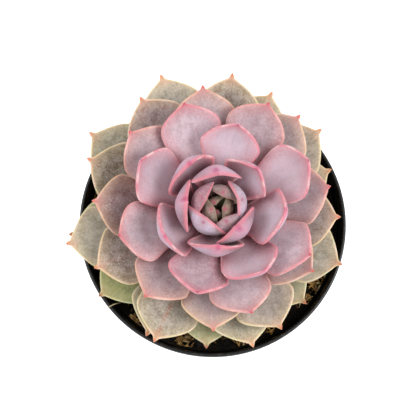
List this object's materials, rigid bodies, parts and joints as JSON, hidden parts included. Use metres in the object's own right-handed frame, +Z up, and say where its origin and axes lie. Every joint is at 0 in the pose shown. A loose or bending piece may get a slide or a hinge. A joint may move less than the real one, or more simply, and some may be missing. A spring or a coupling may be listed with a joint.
{
  "type": "potted pink diamond echeveria",
  "caption": "Rosette succulent with spirally set, fleshy, pointed pink-grey leaves on a short stem, rooted in dark soil in a round black nursery pot.",
  "frame": {"origin": "middle of the pot's flat underside", "axes": "+Z up through the pot towards the rosette; +Y towards the top of the picture, +X to its right"},
  "size_m": [0.1118, 0.1122, 0.1284],
  "materials": {
    "pot": "black moulded plastic, semi-matt, with fine scuffs on the lip",
    "soil": "damp dark potting soil with bark, fibre and pale grit",
    "stem": "green-brown stem skin with leaf scars",
    "heart_leaf": "waxy olive-grey young leaves with crimson tips",
    "inner_leaf": "waxy lilac-pink leaf with salmon-pink margin",
    "middle_leaf": "waxy mauve-rose leaf with coral margin",
    "outer_leaf": "waxy grey-taupe leaf, cream margin, fine pale speckles",
    "lowest_leaf": "waxy light green leaf with cream margin"
  },
  "bodies": {
    "root": {"pot": "pot", "soil": "soil", "stem": "stem", "heart": "heart_leaf", "leaf_08": "inner_leaf", "leaf_09": "inner_leaf", "leaf_10": "inner_leaf", "leaf_11": "inner_leaf", "leaf_12": "inner_leaf", "leaf_13": "inner_leaf", "leaf_14": "inner_leaf", "leaf_15": "inner_leaf", "leaf_16": "inner_leaf", "leaf_17": "inner_leaf", "leaf_18": "inner_leaf", "leaf_19": "inner_leaf", "leaf_20": "middle_leaf", "leaf_21": "middle_leaf", "leaf_22": "middle_leaf", "leaf_23": "middle_leaf", "leaf_24": "middle_leaf", "leaf_25": "middle_leaf", "leaf_26": "middle_leaf", "leaf_27": "middle_leaf", "leaf_28": "middle_leaf", "leaf_29": "middle_leaf", "leaf_30": "middle_leaf", "leaf_31": "middle_leaf", "leaf_32": "middle_leaf", "leaf_33": "middle_leaf", "leaf_34": "outer_leaf", "leaf_35": "outer_leaf", "leaf_36": "outer_leaf", "leaf_37": "outer_leaf", "leaf_38": "outer_leaf", "leaf_39": "outer_leaf", "leaf_40": "outer_leaf", "leaf_41": "outer_leaf", "leaf_42": "outer_leaf", "leaf_43": "outer_leaf", "leaf_44": "outer_leaf", "leaf_45": "outer_leaf", "leaf_46": "outer_leaf", "leaf_47": "outer_leaf", "leaf_48": "outer_leaf", "leaf_49": "outer_leaf", "leaf_50": "lowest_leaf", "leaf_51": "lowest_leaf", "leaf_52": "lowest_leaf", "leaf_53": "lowest_leaf", "leaf_54": "lowest_leaf", "leaf_55": "lowest_leaf", "leaf_56": "lowest_leaf", "leaf_57": "lowest_leaf"}
  },
  "joints": []
}
